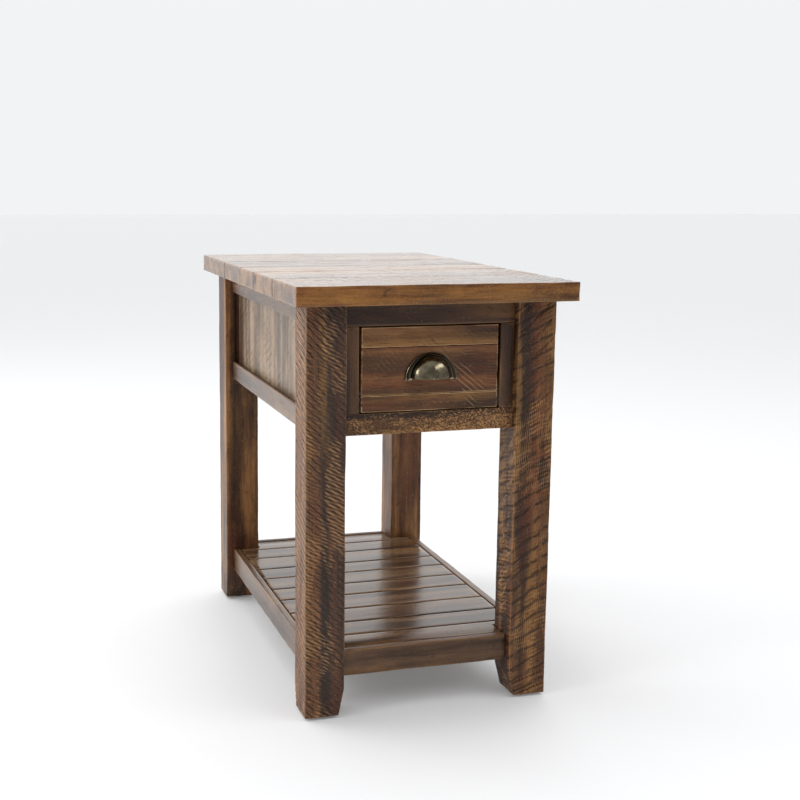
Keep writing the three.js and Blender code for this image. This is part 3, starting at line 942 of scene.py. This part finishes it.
def shelf_rail(node, axis, sign):
    """A shelf rail, with a lip beside the ends of the slats."""
    low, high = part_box(node)
    reach = (INNER_X if axis == X else INNER_Y) - REVEAL
    low[axis], high[axis] = -reach, reach
    across = Y if axis == X else X
    outer = low[across] if sign < 0 else high[across]
    step = outer - sign * LIP
    slices = [(), (), ()]
    slices[across] = (step,)
    body_high = high.copy()
    body_high.z = ledge

    def shape(piece):
        def lip(face):
            middle = face.calc_center_median()[across]
            return facing(face, Z, 1) and (middle - step) * sign > 0

        push_faces(piece, lip, (0, 0, high.z - ledge))

    piece = board(f"dark_{node}", low, body_high, (0.004, 0.004, 0.004), 0.001, slices, shape)
    warp(piece, depth=0.0004, size=0.05, stretch=unit_stretch(axis))
    wear_corners(piece, low, high, depth=0.0005, stretch=unit_stretch(axis, 3))
    number_boards(piece, 70 + axis * 4 + sign)
    finish = shelf_finish_x if axis == X else rail_finish_y
    settle(piece, finish, "table_frame", "rail_wood", node)


for end, sign in (("front", -1), ("rear", 1)):
    shelf_rail(f"shelf_{end}_rail", X, sign)
for side, sign in (("left", -1), ("right", 1)):
    shelf_rail(f"shelf_{side}_rail", Y, sign)

LEG_GAP = 0.0015
SLAT_GAP = 0.0024
for i in range(1, 11):
    node = f"shelf_slat_{i}"
    low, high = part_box(node)
    low.y += SLAT_GAP / 2
    high.y -= SLAT_GAP / 2
    slices = ((), (), ())
    shape = None
    body_low, body_high = low.copy(), high.copy()
    if i in (1, 10):
        sign = -1 if i == 1 else 1
        narrow = INNER_X - LEG_GAP
        corner = sign * (INNER_Y - LEG_GAP)
        slices = ((-narrow, narrow), (), ())
        if sign < 0:
            body_low.y = corner
            reach = low.y - corner
        else:
            body_high.y = corner
            reach = high.y - corner

        def shape(piece, sign=sign, narrow=narrow, reach=reach):
            def middle_part(face):
                return facing(face, Y, sign) and abs(face.calc_center_median().x) < narrow

            push_faces(piece, middle_part, (0, reach, 0))

    steps = (0.006, 0.004, 0.005)
    piece = board(f"satin_slat_{i}", body_low, body_high, steps, slices=slices, shape=shape)
    warp(piece, depth=0.0003, stretch=(4, 1, 1))
    number_boards(piece, 80 + i)
    settle(piece, slat_finish, "table_frame", "slat_wood", node)

# ---------------------------------------------------------------- drawer front

FRONT_SEAMS = (0.4545, 0.5207)
FRONT_STEPS = (0.0018, 0.004, 0.0018)
HALF_SEAM = 0.00025
FRONT_SAW = {
    "depth": 0.0005,
    "spacing": 0.0064,
    "lean": (1, 0, 1.1),
    "radius": 0.5,
    "flat": 0.6,
    "cover": -0.3,
}

low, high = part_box("drawer_front")
heights = [low.z, *FRONT_SEAMS, high.z]
boards = []
for i, (start, end) in enumerate(zip(heights, heights[1:])):
    a, b = low.copy(), high.copy()
    a.z, b.z = start + HALF_SEAM * (i > 0), end - HALF_SEAM * (i < 2)
    strip = board(f"front_strip_{i}", a, b, FRONT_STEPS)
    front = on_faces(strip, (Y, -1))
    warp(strip, depth=0.0008, size=0.03, stretch=(4, 1, 1), group=front)
    strip.vertex_groups.clear()
    saw(strip, a, b, [(Y, -1)], **FRONT_SAW)
    front = on_faces(strip, (Y, -1))
    warp(strip, depth=0.0006, size=0.005, stretch=(5, 1, 1), group=front)
    strip.vertex_groups.clear()
    wear_corners(strip, a, b, depth=0.0006, stretch=(2, 1, 1))
    number_boards(strip, 100 + i)
    boards.append(strip)
piece = join("drawer_front_boards", boards)
settle(piece, front_finish, "drawer", "drawer_front_wood", "drawer_front")

# ---------------------------------------------------------------- cup pull

LIP_RISE = 0.003
lip_z = pull_low.z + LIP_RISE
wall_y = pull_high.y
reach = wall_y - pull_low.y
tall = pull_high.z - pull_low.z
DOME_TALL = 0.0345
DOME_WIDE = 0.031
SHELL = 0.0018
# the flange's outline: shares of its height, and distances from the drawer
RIM = [(1.0, 0.0), (1.0, 0.0021), (0.992, 0.003), (0.974, 0.0035), (0.953, 0.0031)]
RING = [(0.94, 0.0027), (0.925, 0.0025), (0.89, 0.0025), (0.74, 0.0025), (0.74, 0.0)]


def quarter(radius, depth, first, last, count):
    """Points of a quarter ellipse, as distances from the pull's middle and from the drawer."""
    angles = [math.radians(first + (last - first) * i / (count - 1)) for i in range(count)]
    return [(radius * math.cos(a), depth * math.sin(a)) for a in angles]


def half_shell(name, outline, wide):
    """Spins an outline half round above the pull's base and widens it to a half ellipse."""
    bpy.ops.object.select_all(action="DESELECT")
    first_r, first_d = outline[0]
    bpy.ops.mesh.primitive_plane_add(size=0.002, location=(first_r, wall_y - first_d, pull_low.z))
    made = bpy.context.object
    made.name = name
    bpy.ops.object.transform_apply(location=True, rotation=True, scale=True)
    with editing(made):
        bpy.ops.mesh.select_mode(type="VERT")
        bpy.ops.mesh.select_all(action="SELECT")
        bpy.ops.mesh.merge(type="CENTER")
        for (r, d), (next_r, next_d) in zip(outline, outline[1:]):
            move = (next_r - r, d - next_d, 0)
            bpy.ops.mesh.extrude_region_move(TRANSFORM_OT_translate={"value": move})
        bpy.ops.mesh.select_all(action="SELECT")
        bpy.ops.mesh.edge_face_add()
        bpy.ops.mesh.select_all(action="SELECT")
        middle = (0, wall_y, pull_low.z)
        bpy.ops.mesh.spin(steps=64, angle=math.pi, center=middle, axis=(0, 1, 0))
        bpy.ops.mesh.select_all(action="SELECT")
        bpy.ops.mesh.remove_doubles(threshold=0.00002)
        bpy.ops.mesh.select_all(action="SELECT")
        bpy.ops.mesh.normals_make_consistent(inside=False)
        bpy.ops.mesh.select_all(action="SELECT")
        bpy.ops.transform.resize(value=(wide, 1, 1), center_override=middle)
    return made


flange_outline = [(share * tall, d) for share, d in [*RIM, *RING]]
flange = half_shell("flange", flange_outline, pull_high.x / tall)
outside = quarter(DOME_TALL, reach, 0, 90, 18)
inside = quarter(DOME_TALL - SHELL, reach - SHELL, 90, 0, 18)
dome = half_shell("dome", [*outside, *inside], DOME_WIDE / DOME_TALL)
with editing(dome):
    bpy.ops.mesh.select_all(action="SELECT")
    bpy.ops.mesh.bisect(plane_co=(0, 0, lip_z), plane_no=(0, 0, 1), clear_inner=True, use_fill=True)
    ease(dome, 0.0004)
pull = join("aged_cup_pull", [flange, dome])
settle(pull, pull_finish, "drawer", "aged_metal", "cup_pull", angle=50)

# ---------------------------------------------------------------- carried parts


def soften(node, width=0.0005):
    """Eases a carried part's corners without touching its own mesh."""
    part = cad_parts[node]
    weld = part.modifiers.new("weld", "WELD")
    weld.merge_threshold = 0.00001
    bevel = part.modifiers.new("ease", "BEVEL")
    bevel.width = width
    bevel.segments = 2
    bevel.limit_method = "ANGLE"
    bevel.angle_limit = math.radians(35)


CARRIED = {
    "top_batten_left": hidden_finish,
    "top_batten_right": hidden_finish,
    "slide_bearer_left": hidden_finish,
    "slide_bearer_right": hidden_finish,
    "drawer_box_front": box_finish_x,
    "drawer_box_rear": box_finish_x,
    "drawer_side_left": box_finish,
    "drawer_side_right": box_finish,
    "drawer_bottom": box_finish,
}
for node, finish in CARRIED.items():
    soften(node)
for part in ("outer", "middle", "inner"):
    for side in ("left", "right"):
        CARRIED[f"slide_{part}_{side}"] = steel_finish
for side in ("left", "right"):
    CARRIED[f"pull_screw_{side}"] = screw_finish
    for end in ("front", "rear"):
        CARRIED[f"glide_{end}_{side}"] = glide_finish
for node, finish in CARRIED.items():
    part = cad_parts[node]
    part.data.materials.clear()
    part.data.materials.append(finish)

# ---------------------------------------------------------------- floor, lights and camera

bpy.ops.object.select_all(action="DESELECT")
bpy.ops.mesh.primitive_plane_add(size=40, location=(0, 0, 0))
floor = bpy.context.object
floor.name = "studio_floor"
# the floor glows faintly: painted light that lifts the shade under the table
glowing_paper = Finish("studio_paper").done(
    Base_Color=paint(215, 215, 216),
    Roughness=0.7,
    Emission_Color=(1.0, 1.0, 1.0, 1.0),
    Emission_Strength=0.12,
)
floor.data.materials.append(glowing_paper)

world = bpy.data.worlds.new("studio")
bpy.context.scene.world = world
world.use_nodes = True
sky = world.node_tree
BACK_OF_STUDIO = Vector((-0.38, 0.8, 0.45)).normalized()
direction = sky.nodes.new("ShaderNodeTexCoord").outputs["Generated"]
towards_back = sky.nodes.new("ShaderNodeVectorMath")
towards_back.operation = "DOT_PRODUCT"
towards_back.inputs[1].default_value = BACK_OF_STUDIO
sky.links.new(direction, towards_back.inputs[0])
level = sky.nodes.new("ShaderNodeMapRange")
level.interpolation_type = "SMOOTHSTEP"
for key, value in {"From Min": -0.7, "From Max": 0.8, "To Min": 0.4, "To Max": 1.3}.items():
    level.inputs[key].default_value = value
sky.links.new(towards_back.outputs["Value"], level.inputs["Value"])
seen = sky.nodes.new("ShaderNodeLightPath").outputs["Is Camera Ray"]
backdrop = sky.nodes.new("ShaderNodeMix")
backdrop.inputs["B"].default_value = 0.905
sky.links.new(seen, backdrop.inputs["Factor"])
sky.links.new(level.outputs["Result"], backdrop.inputs["A"])
sky.links.new(backdrop.outputs["Result"], sky.nodes["Background"].inputs["Strength"])
sky.nodes["Background"].inputs["Color"].default_value = (0.98, 0.992, 1.0, 1.0)


def softbox(name, place, target, size, power):
    """A rectangular lamp that faces a target. size in metres, power in watts."""
    light = bpy.data.lights.new(name, "AREA")
    light.shape = "RECTANGLE"
    light.size, light.size_y = size
    light.energy = power
    lamp = bpy.data.objects.new(name, light)
    bpy.context.scene.collection.objects.link(lamp)
    lamp.location = place
    lamp.rotation_euler = (Vector(target) - Vector(place)).to_track_quat("-Z", "Y").to_euler()


softbox("key_left_rear", (-2.4, 1.4, 1.6), (0, 0, 0.3), (2.0, 2.0), 40)
softbox("top_fill", (0.3, 0.6, 2.8), (0, 0, 0), (2.5, 2.5), 14)
pull_front = (0, -0.3, 0.5)
softbox("right_glint", (1.7, -1.6, 2.1), pull_front, (2.3, 0.5), 18)
softbox("left_glint", (-2.6, -0.9, 1.6), pull_front, (0.6, 0.6), 10)

# lens and optical centre as shares of the picture's width
FOCAL = 1.6395
CENTRE = (0.4425, 0.47875)
SENSOR = 36
CAMERA_PLACE = (-0.6223, -1.9709, 0.7588)
YAW, PITCH, ROLL = math.radians(16.912), math.radians(9.211), math.radians(0.503)

camera = bpy.data.objects.new("camera", bpy.data.cameras.new("camera"))
bpy.context.scene.collection.objects.link(camera)
camera.data.sensor_width = SENSOR
camera.data.lens = FOCAL * SENSOR
camera.data.shift_x = 0.5 - CENTRE[0]
camera.data.shift_y = CENTRE[1] - 0.5
level_ahead = math.cos(PITCH)
forward = Vector((math.sin(YAW) * level_ahead, math.cos(YAW) * level_ahead, -math.sin(PITCH)))
right = Vector((math.cos(YAW), -math.sin(YAW), 0))
up = right.cross(forward)
level_right = math.cos(ROLL) * right + math.sin(ROLL) * up
level_up = -math.sin(ROLL) * right + math.cos(ROLL) * up
turn = Matrix((level_right, level_up, -forward)).transposed()
camera.matrix_world = Matrix.Translation(CAMERA_PLACE) @ turn.to_4x4()
bpy.context.scene.camera = camera
bpy.context.scene.view_settings.view_transform = "Standard"
